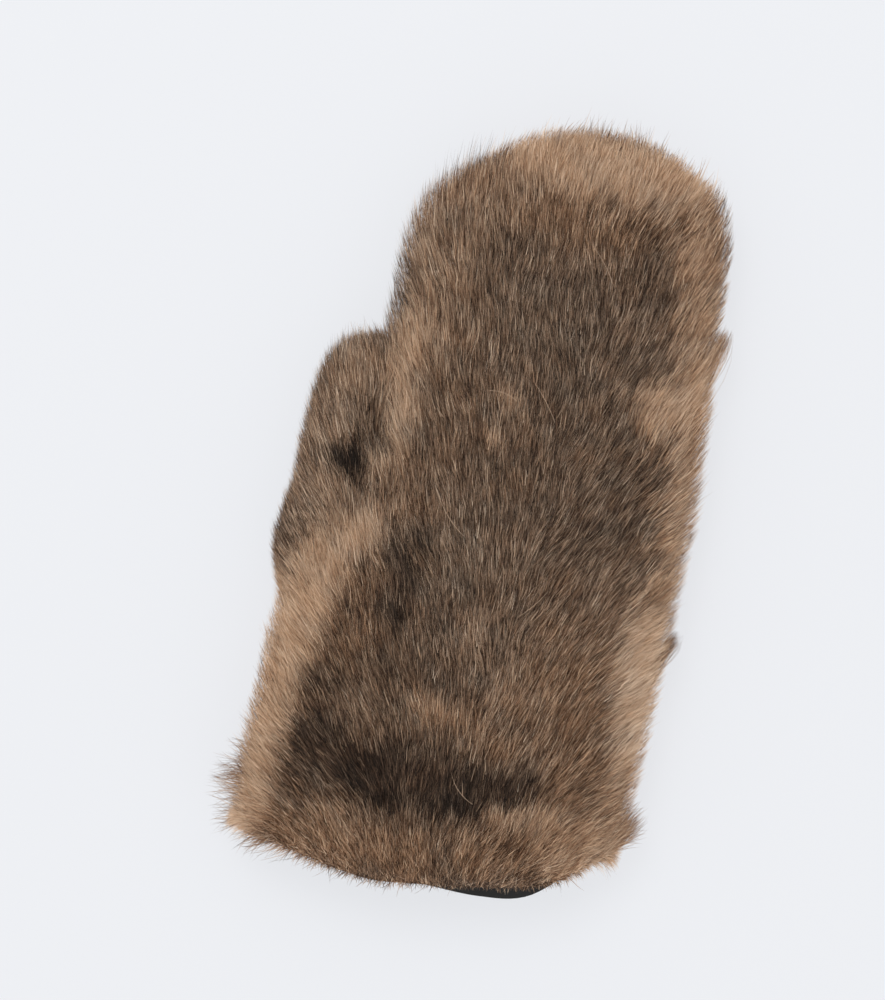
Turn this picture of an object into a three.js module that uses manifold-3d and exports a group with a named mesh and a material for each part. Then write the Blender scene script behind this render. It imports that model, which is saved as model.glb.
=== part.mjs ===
// A fur mitten for the right hand, lying palm down on a table.
// Sizes are in millimetres. +Y runs from the cuff to the fingertips, +X is the side away from the thumb and
// +Z is up. The origin is on the flat underside, below the middle of the palm.
// The back, palm and thumb are pelts with locks of fur fused to them, sewn round a thin lining bag.

import * as THREE from "three";
import { mergeVertices } from "three/addons/utils/BufferGeometryUtils.js";
import Module from "manifold-3d";

const wasm = await Module();
wasm.setup();
const { Manifold, Mesh: SolidMesh } = wasm;

// Hand bag, measured on the outside of the lining
const handLength = 276; // lowest point of the cuff to the fingertips
const originFromCuff = 132; // lowest point of the cuff to the origin
const palmThumbSide = 68.5; // centre line to the thumb-side edge, at the palm and wrist
const palmFarSide = 56; // centre line to the far edge, at the palm and wrist
const fingerThumbSide = 48; // centre line to the thumb-side edge, at the fingers
const fingerFarSide = 50.5; // centre line to the far edge, at the fingers
const backRise = 15; // side seam to the top of the back
const palmDrop = 16.5; // side seam to the underside of the palm
const fingerRound = 48; // length of the rounded fingertip end

// Thumb bag
const thumbRoot = 88; // lowest point of the cuff to where the thumb leaves the palm
const thumbLength = 99; // root to thumb tip
const thumbWidth = 19.5;
const thumbThickness = 23;
const thumbRound = 15; // length of the rounded thumb tip
const thumbBeside = 6; // clear width between the thumb's bag and the fingers'
const thumbBelowSeam = 2.5; // the thumb's centre lies this far below the side seam

// Walls
const liningWall = 1.2;
const sewnGap = 0.3; // clearance between sewn pieces
const peltWall = 3; // leather and the dense underfur on it
const pressed = 0.7; // how far the palm's fur is pressed flat by the table

// Cuff edge
const cuffFarRise = 34; // how far the edge climbs towards the far corner
const cuffThumbRise = 13; // how far it climbs towards the thumb-side corner
const cuffSag = 5.5; // how far the palm's edge hangs past the back's, where the lining shows
const liningRecess = 2; // the lining ends this far inside the back's edge
const liningShow = 1; // and this far past the palm's edge

// Fur
const furHeight = 8; // pelt's surface to the tips of the hand's locks
const thumbFurHeight = 5.5; // and of the thumb's
const besideThumb = 4; // height of the hand's fur where the thumb's meets it
const lockLength = 36;
const lockWidth = 19;
const lockThickness = 5;
const lockRowPitch = 25; // along the mitten
const lockPitch = 22.8; // round the mitten
const lockSink = 2; // root below the pelt's surface
const baldEdge = 3; // the cuff's edge to the first roots
const seamOverlap = 3; // the back's and the palm's locks grow this far past the side seam, then are cut
const thumbLockShare = 0.72; // length, width and pitch of the thumb's locks against the hand's

const seamHeight = palmDrop + sewnGap + peltWall - pressed;
const furOuter = sewnGap + peltWall;
const thumbAcross = fingerThumbSide + thumbBeside + thumbWidth / 2;
const beyondCuff = cuffSag + liningShow + furOuter; // the bags are made this much too long, then cut

// Sections of the hand, from cuff to fingertips. along is a share of handLength. thumbSide and farSide go
// from 0, the palm's edge, to 1, the fingers'. rise and drop are shares of backRise and palmDrop.
const handSections = [
  { along: 0.0, thumbSide: 0.0, farSide: 0.0, rise: 0.72, drop: 1 },
  { along: 0.1, thumbSide: -0.02, farSide: 0.02, rise: 0.66, drop: 1 },
  { along: 0.22, thumbSide: 0.0, farSide: 0.04, rise: 0.86, drop: 1 },
  { along: 0.33, thumbSide: 0.04, farSide: 0.04, rise: 1.0, drop: 1 },
  { along: 0.43, thumbSide: 0.55, farSide: 0.08, rise: 1.06, drop: 1 },
  { along: 0.51, thumbSide: 0.96, farSide: 0.3, rise: 1.02, drop: 1 },
  { along: 0.58, thumbSide: 1.02, farSide: 0.55, rise: 1.0, drop: 1 },
  { along: 0.7, thumbSide: 1.0, farSide: 0.9, rise: 1.05, drop: 1 },
  { along: 0.85, thumbSide: 1.12, farSide: 1.0, rise: 1.0, drop: 1 },
  { along: 1.0, thumbSide: 1.6, farSide: 0.9, rise: 0.9, drop: 1 },
];

// Sections of the thumb, from root to tip. along is a share of thumbLength, across of the distance from the
// hand's centre line to the thumb's, width of thumbWidth, and rise and drop of half the thumbThickness.
const thumbSections = [
  { along: 0.0, across: 0.88, width: 1.15, rise: 0.8, drop: 1 },
  { along: 0.25, across: 1.02, width: 1.16, rise: 0.95, drop: 1 },
  { along: 0.5, across: 1.0, width: 1.0, rise: 1, drop: 1 },
  { along: 0.75, across: 0.99, width: 0.98, rise: 1, drop: 1 },
  { along: 1.0, across: 0.96, width: 0.95, rise: 0.95, drop: 0.95 },
];

// The cuff's edge. across goes from -1, the thumb-side corner, to 1, the far corner. back is how far the
// back's edge has climbed from its lowest point, as a share of that side's rise, and sag is how far the
// palm's edge hangs below it, as a share of cuffSag.
const lowestAcross = -0.35;
const cuffEdge = [
  { across: -1.2, back: 1.3, sag: 0 },
  { across: -0.95, back: 0.62, sag: 0 },
  { across: -0.7, back: 0.28, sag: 0 },
  { across: lowestAcross, back: 0.0, sag: 0 },
  { across: 0.05, back: 0.06, sag: 0.25 },
  { across: 0.4, back: 0.17, sag: 0.9 },
  { across: 0.68, back: 0.3, sag: 1 },
  { across: 0.9, back: 0.55, sag: 0.2 },
  { across: 1.2, back: 1.25, sag: 0 },
];

// Value of a table's column at one place along its key column, on a smooth curve through its rows.
function smooth(table, key, column, at) {
  const last = table.length - 1;
  const place = THREE.MathUtils.clamp(at, table[0][key], table[last][key]);
  let i = 0;
  while (i < last - 1 && place > table[i + 1][key]) i += 1;
  const slope = (k) => {
    const a = table[Math.max(k - 1, 0)];
    const b = table[Math.min(k + 1, last)];
    return (b[column] - a[column]) / (b[key] - a[key]);
  };
  const span = table[i + 1][key] - table[i][key];
  const t = (place - table[i][key]) / span;
  const [p, q] = [table[i][column], table[i + 1][column]];
  const [m, n] = [slope(i) * span, slope(i + 1) * span];
  return p + t * (m + t * (3 * (q - p) - 2 * m - n + t * (2 * (p - q) + m + n)));
}

// How much of a section is left at a place in the rounded end of a bag: 1 before it, 0 at the tip.
const endPower = 2.3;
function roundedEnd(place, tip, length) {
  const t = THREE.MathUtils.clamp((place - (tip - length)) / length, 0, 1);
  return (1 - t ** endPower) ** (1 / endPower);
}

// A bag gives its section at a place along Y, grown all round by a distance.
const handBag = {
  start: -beyondCuff,
  tip: handLength,
  round: fingerRound,
  section(y, grow) {
    const at = (column) => smooth(handSections, "along", column, y / handLength);
    const end = roundedEnd(y, handLength + grow, fingerRound);
    const left = THREE.MathUtils.lerp(palmThumbSide, fingerThumbSide, at("thumbSide"));
    const right = THREE.MathUtils.lerp(palmFarSide, fingerFarSide, at("farSide"));
    return {
      x: (right - left) / 2,
      z: seamHeight,
      halfWidth: ((right + left) / 2 + grow) * end,
      rise: (backRise * at("rise") + grow) * end,
      drop: (palmDrop * at("drop") + grow) * end,
    };
  },
};

const thumbBag = {
  start: thumbRoot,
  tip: thumbRoot + thumbLength,
  round: thumbRound,
  section(y, grow) {
    const at = (column) => smooth(thumbSections, "along", column, (y - thumbRoot) / thumbLength);
    const end = roundedEnd(y, thumbRoot + thumbLength + grow, thumbRound);
    return {
      x: -thumbAcross * at("across"),
      z: seamHeight - thumbBelowSeam,
      halfWidth: ((thumbWidth / 2) * at("width") + grow) * end,
      rise: ((thumbThickness / 2) * at("rise") + grow) * end,
      drop: ((thumbThickness / 2) * at("drop") + grow) * end,
    };
  },
};

// A section is an ellipse above the seam and nearly a rounded box below it.
const topPower = 2.35;
const underPower = 4;

// A point on a bag's surface. turn goes round from the far side, over the back, to the thumb side and under.
function pointOn(bag, y, turn, grow) {
  const s = bag.section(y, grow);
  const [c, d] = [Math.cos(turn), Math.sin(turn)];
  const power = 2 / (d < 0 ? underPower : topPower);
  const across = Math.sign(c) * Math.abs(c) ** power;
  const up = Math.sign(d) * Math.abs(d) ** power;
  return new THREE.Vector3(s.x + s.halfWidth * across, y, s.z + (d < 0 ? s.drop : s.rise) * up);
}

// The outward direction of a bag's surface.
const probe = 0.02;
function outwardOn(bag, y, turn, grow) {
  const round = pointOn(bag, y, turn + probe, grow).sub(pointOn(bag, y, turn - probe, grow));
  const along = pointOn(bag, y + probe, turn, grow).sub(pointOn(bag, y - probe, turn, grow));
  return round.cross(along).negate().normalize();
}

// The point of a bag's surface, grown by a distance, that lies straight out from its middle towards a point.
const furthest = 4;
const halvings = 26;
function outTo(bag, toward, grow) {
  const y = Math.min(toward.y, bag.tip - bag.round);
  const { x, z } = bag.section(y, grow);
  const middle = new THREE.Vector3(x, y, z);
  const ray = toward.clone().sub(middle);
  const inside = (p) => {
    if (p.y >= bag.tip + grow) return false;
    const s = bag.section(p.y, grow);
    const power = p.z < s.z ? underPower : topPower;
    const across = Math.abs(p.x - s.x) / s.halfWidth;
    const up = Math.abs(p.z - s.z) / (p.z < s.z ? s.drop : s.rise);
    return across ** power + up ** power < 1;
  };
  let [near, far] = [0, furthest];
  for (let i = 0; i < halvings; i += 1) {
    const half = (near + far) / 2;
    if (inside(middle.clone().addScaledVector(ray, half))) near = half;
    else far = half;
  }
  return middle.addScaledVector(ray, near);
}

// Turns a closed geometry into a solid for joining and cutting.
function solidOf(geometry) {
  const bare = new THREE.BufferGeometry().setAttribute("position", geometry.getAttribute("position"));
  if (geometry.index) bare.setIndex(geometry.index);
  const merged = mergeVertices(bare, 1e-4);
  const vertProperties = new Float32Array(merged.attributes.position.array);
  const triVerts = new Uint32Array(merged.index.array);
  return new Manifold(new SolidMesh({ numProp: 3, vertProperties, triVerts }));
}

// Closed geometry through rings of points that share one count. A last ring drawn together makes a point.
function loft(rings) {
  const positions = [];
  const index = [];
  const count = rings[0].length;
  const last = rings.length - 1;
  const middle = (ring) => ring.reduce((sum, p) => sum.add(p), new THREE.Vector3()).divideScalar(count);
  [...rings.flat(), middle(rings[0]), middle(rings[last])].forEach((p) => positions.push(p.x, p.y, p.z));
  const [startPoint, endPoint] = [rings.length * count, rings.length * count + 1];
  for (let j = 0; j < count; j += 1) {
    const k = (j + 1) % count;
    index.push(startPoint, j, k);
    for (let i = 0; i < last; i += 1) {
      const [a, b] = [i * count, (i + 1) * count];
      index.push(a + j, b + j, a + k, a + k, b + j, b + k);
    }
    index.push(endPoint, last * count + k, last * count + j);
  }
  return new THREE.BufferGeometry()
    .setAttribute("position", new THREE.Float32BufferAttribute(positions, 3))
    .setIndex(index);
}

// The outside of a bag as one solid, grown by a distance.
const tipStations = [0.3, 0.55, 0.75, 0.89, 0.97];
function bagSolid(bag, grow, sides, stations) {
  const places = [];
  const straightEnd = bag.tip + grow - bag.round;
  for (let i = 0; i <= stations; i += 1) {
    places.push(THREE.MathUtils.lerp(bag.start - grow, straightEnd, i / stations));
  }
  tipStations.forEach((t) => places.push(straightEnd + t * bag.round));
  const rings = places.map((y) =>
    Array.from({ length: sides }, (_, j) => pointOn(bag, y, (2 * Math.PI * j) / sides, grow)),
  );
  rings.push(rings[0].map(() => pointOn(bag, bag.tip + grow, 0, grow)));
  return solidOf(loft(rings));
}

const hand = (grow) => bagSolid(handBag, grow, 26, 9);
const thumb = (grow) => bagSolid(thumbBag, grow, 14, 4);

// A block between two heights, wider and longer than the mitten.
const farOff = 2 * handLength;
function slab(low, high) {
  const box = new THREE.BoxGeometry(2 * farOff, 2 * farOff, high - low);
  box.translate(0, 0, (low + high) / 2);
  return solidOf(box);
}

// Where the cuff's edge is at a place across it, with the given share of the palm's sag.
const cuffMiddle = (palmFarSide - palmThumbSide) / 2;
const cuffHalf = (palmFarSide + palmThumbSide) / 2;
function cuffEdgeAt(across, sagShare) {
  const climb = across < lowestAcross ? cuffThumbRise : cuffFarRise;
  const sag = sagShare * cuffSag * smooth(cuffEdge, "across", "sag", across);
  return climb * smooth(cuffEdge, "across", "back", across) - sag;
}

// What lies past the cuff's edge between two heights, to be cut away. shift moves the cut into the mitten.
const cuffSteps = 22;
function pastCuff(sagShare, shift, low, high) {
  const [first, last] = [cuffEdge[0].across, cuffEdge.at(-1).across];
  const outline = new THREE.Shape();
  outline.moveTo(-farOff, -farOff);
  outline.lineTo(farOff, -farOff);
  outline.lineTo(farOff, cuffEdgeAt(last, sagShare) + shift);
  for (let i = 0; i <= cuffSteps; i += 1) {
    const across = THREE.MathUtils.lerp(last, first, i / cuffSteps);
    outline.lineTo(cuffMiddle + cuffHalf * across, cuffEdgeAt(across, sagShare) + shift);
  }
  outline.lineTo(-farOff, cuffEdgeAt(first, sagShare) + shift);
  const block = new THREE.ExtrudeGeometry(outline, { depth: high - low, bevelEnabled: false });
  block.translate(0, 0, low);
  return solidOf(block);
}

// The way that the fur lies: up the middle, and fanning out to both sides, most of all at the cuff.
const fanAtCuff = 0.95;
const fanAtFingers = 0.3;
function lieOfFur(point) {
  const side = (point.x - cuffMiddle) / cuffHalf;
  const up = THREE.MathUtils.clamp(point.y / handLength, 0, 1);
  return new THREE.Vector3(side * THREE.MathUtils.lerp(fanAtCuff, fanAtFingers, up), 1, 0).normalize();
}

// A steady number from -0.5 to 0.5 for each whole number, for the small irregularities of the fur.
function scatter(n) {
  const wave = Math.sin(n * 127.1 + 11.7) * 43758.5453;
  return wave - Math.floor(wave) - 0.5;
}

// One lock: a tapering, ridged tongue that rises from the pelt, follows its curve and ends in a point.
// along, width and height are shares of the lock's length, its width, and the rise from its root to its tip,
// and ridge is a share of its thickness.
const lockSections = [
  { along: 0.0, width: 0.7, height: 0.0, ridge: 0.6 },
  { along: 0.42, width: 1.0, height: 0.5, ridge: 1.0 },
  { along: 0.78, width: 0.62, height: 0.84, ridge: 0.45 },
];
function lockGeometry(bag, root, outward, twist, share, height) {
  const lie = lieOfFur(root);
  const along = lie.addScaledVector(outward, -lie.dot(outward)).normalize().applyAxisAngle(outward, twist);
  const across = new THREE.Vector3().crossVectors(along, outward);
  const climb = height + lockSink;
  const at = (far, side, up) => {
    const over = root.clone().addScaledVector(along, lockLength * share * far);
    over.addScaledVector(across, (lockWidth / 2) * share * side);
    return outTo(bag, over, furOuter - lockSink + Math.min(up, climb));
  };
  const rings = lockSections.map((s) => [
    at(s.along, s.width, s.height * climb),
    at(s.along, 0, s.height * climb + lockThickness * share * s.ridge),
    at(s.along, -s.width, s.height * climb),
  ]);
  rings.push(rings[0].map(() => at(1, 0, climb)));
  return loft(rings);
}

// Locks in staggered rows between two places along a bag, where grows says yes. Each differs a little.
const strayTurn = 0.35;
const strayPlace = 0.4;
const strayTwist = 0.3;
const straySize = 0.3;
const strayHeight = 0.2;
function locksOn(bag, from, to, grows, share, height, seed) {
  const made = [];
  const rows = Math.round((to - from) / (lockRowPitch * share));
  for (let row = 0; row < rows; row += 1) {
    const middle = from + ((row + 0.5) * (to - from)) / rows;
    const s = bag.section(middle, furOuter);
    const count = Math.round((2 * (2 * s.halfWidth + s.rise + s.drop)) / (lockPitch * share));
    for (let i = 0; i < count; i += 1) {
      const n = seed + row * 97 + i * 7;
      const turn = (2 * Math.PI * (i + (row % 2) / 2 + strayTurn * scatter(n))) / count;
      const y = middle + lockRowPitch * share * strayPlace * scatter(n + 1);
      const root = pointOn(bag, y, turn, furOuter);
      const outward = outwardOn(bag, y, turn, furOuter);
      if (!grows(root, outward)) continue;
      const own = share * (1 + straySize * scatter(n + 2));
      const tall = height * (1 - strayHeight * (0.5 + scatter(n + 4)));
      made.push(solidOf(lockGeometry(bag, root, outward, strayTwist * scatter(n + 3), own, tall)));
    }
  }
  return Manifold.union(made);
}

// Locks grow on the back, round the palm's sides and on the thumb, but not on the undersides.
const undersideTurn = -0.7;
const pastEdge = (root) => root.y > cuffEdgeAt((root.x - cuffMiddle) / cuffHalf, 0) + baldEdge;
const growsOnBack = (root) => root.z > seamHeight - seamOverlap && pastEdge(root);
const growsOnPalm = (root, outward) =>
  root.z < seamHeight + seamOverlap && outward.z > undersideTurn && pastEdge(root);
const growsOnThumb = (root, outward) => outward.z > undersideTurn && root.x < -fingerThumbSide;
const handLocks = (grows, seed) => locksOn(handBag, 0, handLength, grows, 1, furHeight, seed);
const thumbLocks = locksOn(
  thumbBag,
  thumbRoot + thumbLength / 4,
  thumbRoot + thumbLength,
  growsOnThumb,
  thumbLockShare,
  thumbFurHeight,
  9000,
);

// The locks of the hand and the thumb share out the room between them.
const thumbRoom = thumb(furOuter + thumbFurHeight + sewnGap)
  .subtract(hand(furOuter + besideThumb))
  .add(thumb(furOuter + sewnGap));
const handRoom = hand(furOuter + besideThumb + sewnGap);

// Lining: one thin bag with a thumb, open at the cuff.
const lining = hand(0)
  .add(thumb(0))
  .subtract(hand(-liningWall).add(thumb(-liningWall)))
  .subtract(pastCuff(1, -liningShow, -farOff, farOff))
  .subtract(pastCuff(0, liningRecess, seamHeight, farOff));

// Pelts: walls round the lining, with the hand's cut into back and palm along the side seam.
const hollow = hand(sewnGap).add(thumb(sewnGap));
const backFur = hand(furOuter)
  .add(handLocks(growsOnBack, 400).subtract(thumbRoom))
  .subtract(hollow)
  .subtract(pastCuff(0, 0, -farOff, farOff))
  .intersect(slab(seamHeight + sewnGap / 2, farOff));
const palmFur = hand(furOuter)
  .add(handLocks(growsOnPalm, 5000).subtract(thumbRoom))
  .subtract(hollow)
  .subtract(pastCuff(1, 0, -farOff, farOff))
  .intersect(slab(0, seamHeight - sewnGap / 2));
const thumbFur = thumb(furOuter)
  .add(thumbLocks.subtract(handRoom))
  .subtract(thumb(sewnGap))
  .subtract(hand(furOuter + sewnGap))
  .intersect(slab(sewnGap, farOff));

// A named mesh from a solid's largest body, placed in the part's own frame.
const mitten = new THREE.Group();
mitten.position.y = -originFromCuff;
function addPiece(name, solid, finish) {
  const body = solid.decompose().reduce((a, b) => (a.volume() > b.volume() ? a : b));
  const found = body.getMesh();
  const geometry = new THREE.BufferGeometry()
    .setAttribute("position", new THREE.BufferAttribute(found.vertProperties, 3))
    .setIndex(new THREE.BufferAttribute(found.triVerts, 1));
  geometry.computeVertexNormals();
  const mesh = new THREE.Mesh(geometry, new THREE.MeshStandardMaterial({ metalness: 0, ...finish }));
  mesh.name = name;
  mitten.add(mesh);
}

addPiece("back_fur", backFur, { color: 0x6f5543, roughness: 0.85 });
addPiece("palm_fur", palmFur, { color: 0x8a6c54, roughness: 0.85 });
addPiece("thumb_fur", thumbFur, { color: 0x7d6452, roughness: 0.85 });
addPiece("lining", lining, { color: 0x1d1a19, roughness: 0.6 });

export default mitten;
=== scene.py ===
import math

import bpy
import numpy as np
from mathutils import Matrix, Vector, kdtree


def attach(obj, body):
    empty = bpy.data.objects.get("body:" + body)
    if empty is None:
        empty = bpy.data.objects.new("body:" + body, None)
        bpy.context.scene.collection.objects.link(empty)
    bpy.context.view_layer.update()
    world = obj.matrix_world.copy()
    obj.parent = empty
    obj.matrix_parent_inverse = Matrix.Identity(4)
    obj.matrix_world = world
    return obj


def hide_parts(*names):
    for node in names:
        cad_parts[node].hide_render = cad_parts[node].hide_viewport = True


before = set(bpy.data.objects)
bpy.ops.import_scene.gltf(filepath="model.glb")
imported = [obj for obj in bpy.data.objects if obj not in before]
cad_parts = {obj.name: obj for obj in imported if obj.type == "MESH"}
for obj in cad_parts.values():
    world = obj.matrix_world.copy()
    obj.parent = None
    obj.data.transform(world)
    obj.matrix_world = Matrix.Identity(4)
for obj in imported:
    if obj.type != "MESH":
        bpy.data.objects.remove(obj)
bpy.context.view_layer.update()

# The lining is a thin, smooth, dark bag with a thumb, sewn round the cuff inside the fur. It shows as a
# sliver there, where the palm's edge hangs a little past the back's. The two bags are cut out of their
# swept sections, joined at the thumb's mouth and cut along the cuff.
MM = 0.001
ORIGIN_FROM_CUFF = 132
HAND_LENGTH = 276
PALM_THUMB_SIDE = 68.5
PALM_FAR_SIDE = 56
FINGER_THUMB_SIDE = 48
FINGER_FAR_SIDE = 50.5
BACK_RISE = 15
PALM_DROP = 16.5
FINGER_ROUND = 48
SEAM_HEIGHT = 19.1
THUMB_ROOT = 88
THUMB_LENGTH = 99
THUMB_TIP = THUMB_ROOT + THUMB_LENGTH
THUMB_WIDTH = 19.5
THUMB_THICKNESS = 23
THUMB_ROUND = 15
THUMB_ACROSS = 63.75
THUMB_BELOW_SEAM = 2.5
LINING_WALL = 1.2
LINING_RECESS = 2
LINING_SHOW = 1
CUFF_MIDDLE = -6.25
CUFF_HALF = 62.25
CUFF_THUMB_RISE = 13
CUFF_FAR_RISE = 34
CUFF_SAG = 5.5
BACK_ROUNDNESS = 2.35
PALM_ROUNDNESS = 4.0
TIP_ROUNDNESS = 2.3
SHORT_OF_TIP = 0.9999
SHARP_FOLD = math.radians(50)
BAG_START = -30
HOLLOW_START = -40
BLOCK_REACH = 1.19
BLOCK_POINTS = 60
BLOCK_MARGIN = 20
BLOCK_END = -240
BLOCK_LOW = -20
BLOCK_TOP = 90

# Each row is a share of the way along the bag, then the shape there against the sizes above.
hand_sections = np.array(
    [
        (0.00, 0.00, 0.00, 0.72, 1),
        (0.10, -0.02, 0.02, 0.66, 1),
        (0.22, 0.00, 0.04, 0.86, 1),
        (0.33, 0.04, 0.04, 1.00, 1),
        (0.43, 0.55, 0.08, 1.06, 1),
        (0.51, 0.96, 0.30, 1.02, 1),
        (0.58, 1.02, 0.55, 1.00, 1),
        (0.70, 1.00, 0.90, 1.05, 1),
        (0.85, 1.12, 1.00, 1.00, 1),
        (1.00, 1.60, 0.90, 0.90, 1),
    ],
    dtype=[(column, float) for column in ("at", "thumb_side", "far_side", "rise", "drop")],
)
thumb_sections = np.array(
    [
        (0.00, 0.88, 1.15, 0.80, 1.00),
        (0.25, 1.02, 1.16, 0.95, 1.00),
        (0.50, 1.00, 1.00, 1.00, 1.00),
        (0.75, 0.99, 0.98, 1.00, 1.00),
        (1.00, 0.96, 0.95, 0.95, 0.95),
    ],
    dtype=[(column, float) for column in ("at", "across", "width", "rise", "drop")],
)
# Each row is a share of the half width across the cuff, then how far its edge rises and how far it sags.
cuff_edge = np.array(
    [
        (-1.20, 1.30, 0.00),
        (-0.95, 0.62, 0.00),
        (-0.70, 0.28, 0.00),
        (-0.35, 0.00, 0.00),
        (0.05, 0.06, 0.25),
        (0.40, 0.17, 0.90),
        (0.68, 0.30, 1.00),
        (0.90, 0.55, 0.20),
        (1.20, 1.25, 0.00),
    ],
    dtype=[(column, float) for column in ("at", "back", "sag")],
)


def smooth(table, column, at):
    """A smooth curve through a column of the table, with its slope at each row taken from the neighbours."""
    x, y = table["at"], table[column]
    slope = np.empty_like(y)
    slope[1:-1] = (y[2:] - y[:-2]) / (x[2:] - x[:-2])
    slope[0] = (y[1] - y[0]) / (x[1] - x[0])
    slope[-1] = (y[-1] - y[-2]) / (x[-1] - x[-2])
    row = np.clip(np.searchsorted(x, at, side="right") - 1, 0, len(x) - 2)
    span = x[row + 1] - x[row]
    t = np.clip((at - x[row]) / span, 0, 1)
    p, q, m, n = y[row], y[row + 1], slope[row] * span, slope[row + 1] * span
    return p + t * (m + t * (3 * (q - p) - 2 * m - n + t * (2 * (p - q) + m + n)))


def rounded_end(y, tip, length, grow):
    """1 along a bag, falling to 0 in a round nose over the last of its length."""
    t = np.clip((y - (tip + grow - length)) / length, 0, 1)
    return (1 - t**TIP_ROUNDNESS) ** (1 / TIP_ROUNDNESS)


def hand_section(y, grow):
    """Middle, height, half width, rise and drop of the hand's bag y mm from the cuff, grown by grow mm."""
    along = y / HAND_LENGTH
    thumb_side = smooth(hand_sections, "thumb_side", along)
    far_side = smooth(hand_sections, "far_side", along)
    left = PALM_THUMB_SIDE + (FINGER_THUMB_SIDE - PALM_THUMB_SIDE) * thumb_side
    right = PALM_FAR_SIDE + (FINGER_FAR_SIDE - PALM_FAR_SIDE) * far_side
    end = rounded_end(y, HAND_LENGTH, FINGER_ROUND, grow)
    rise = BACK_RISE * smooth(hand_sections, "rise", along) + grow
    drop = PALM_DROP * smooth(hand_sections, "drop", along) + grow
    return (right - left) / 2, SEAM_HEIGHT, ((right + left) / 2 + grow) * end, rise * end, drop * end


def thumb_section(y, grow):
    """The same of the thumb's bag."""
    along = (y - THUMB_ROOT) / THUMB_LENGTH
    end = rounded_end(y, THUMB_TIP, THUMB_ROUND, grow)
    middle = -THUMB_ACROSS * smooth(thumb_sections, "across", along)
    half = THUMB_WIDTH / 2 * smooth(thumb_sections, "width", along) + grow
    rise = THUMB_THICKNESS / 2 * smooth(thumb_sections, "rise", along) + grow
    drop = THUMB_THICKNESS / 2 * smooth(thumb_sections, "drop", along) + grow
    return middle, SEAM_HEIGHT - THUMB_BELOW_SEAM, half * end, rise * end, drop * end


def on_section(section, y, turn, grow):
    """Points of a bag: turn 0 is the far side, a quarter turn the back and half a turn the thumb side."""
    middle, height, half, rise, drop = section(y, grow)
    c, s = np.cos(turn), np.sin(turn)
    roundness = np.where(s < 0, PALM_ROUNDNESS, BACK_ROUNDNESS)
    across = np.sign(c) * np.abs(c) ** (2 / roundness)
    up = np.sign(s) * np.abs(s) ** (2 / roundness)
    z = height + up * np.where(s < 0, drop, rise)
    return np.stack([middle + across * half, y - ORIGIN_FROM_CUFF, z], -1)


def cuff_line(x, sag):
    """How far the cuff's edge stands from y 0 at x: sag is 0 on the back and 1 on the palm."""
    at = (x - CUFF_MIDDLE) / CUFF_HALF
    corner = np.where(at < -0.35, CUFF_THUMB_RISE, CUFF_FAR_RISE)
    return corner * smooth(cuff_edge, "back", at) - sag * CUFF_SAG * smooth(cuff_edge, "sag", at)


def sweep(section, start, tip, turn, grow, stations):
    """A grid of points over a bag from start, a length for each turn, to its tip, finer at the tip."""
    share = np.sin(np.linspace(0, 1, stations) * math.pi / 2)[:, None] * SHORT_OF_TIP
    y = start + (tip + grow - start) * share
    return on_section(section, y, np.broadcast_to(turn, y.shape), grow)


def mesh_object(name, points, faces, material):
    """A mesh from points in mm and its faces, smooth except at sharp corners."""
    mesh = bpy.data.meshes.new(name)
    mesh.from_pydata((np.asarray(points) * MM).tolist(), [], faces)
    mesh.validate()
    mesh.shade_smooth()
    mesh.set_sharp_from_angle(angle=SHARP_FOLD)
    piece = bpy.data.objects.new(name, mesh)
    bpy.context.scene.collection.objects.link(piece)
    if material:
        mesh.materials.append(material)
    return piece


def closed_bag(name, section, start, tip, grow, stations, turns):
    """A bag as a closed solid, for joining and cutting."""
    turn = np.arange(turns) / turns * 2 * math.pi
    rings = sweep(section, np.full(turns, start), tip, turn, grow, stations)
    points = rings.reshape(-1, 3)
    faces = [tuple(range(turns))[::-1], tuple(len(points) - turns + k for k in range(turns))]
    for ring in range(stations - 1):
        for k in range(turns):
            here, beside = ring * turns + k, ring * turns + (k + 1) % turns
            faces.append((here, beside, beside + turns, here + turns))
    solid = mesh_object(name, points, faces, None)
    if sum(p.center.dot(p.normal) * p.area for p in solid.data.polygons) < 0:
        solid.data.flip_normals()
    return solid


def below_cuff(name, sag, shift, low):
    """A block under the cuff's line, from the height low up, shifted by shift mm along the mitten."""
    x = np.linspace(-BLOCK_REACH, BLOCK_REACH, BLOCK_POINTS) * CUFF_HALF + CUFF_MIDDLE
    edge = cuff_line(x, sag) + shift - ORIGIN_FROM_CUFF
    left, right = x[0] - BLOCK_MARGIN, x[-1] + BLOCK_MARGIN
    ring = list(zip(x, edge))
    ring += [(right, edge[-1]), (right, BLOCK_END), (left, BLOCK_END), (left, edge[0])]
    count = len(ring)
    points = [(a, b, z) for z in (low, BLOCK_TOP) for a, b in ring]
    faces = [tuple(range(count)), tuple(range(2 * count - 1, count - 1, -1))]
    faces += [(k, k + count, (k + 1) % count + count, (k + 1) % count) for k in range(count)]
    return mesh_object(name, points, faces, None)


def combine(piece, other, operation):
    """Joins or cuts a solid with another, which is then thrown away."""
    tool = piece.modifiers.new("cut", "BOOLEAN")
    tool.operation = operation
    tool.solver = "EXACT"
    tool.object = other
    bpy.context.view_layer.update()
    made = bpy.data.meshes.new_from_object(piece.evaluated_get(bpy.context.evaluated_depsgraph_get()))
    piece.modifiers.clear()
    piece.data = made
    bpy.data.objects.remove(other)
    return piece


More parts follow.
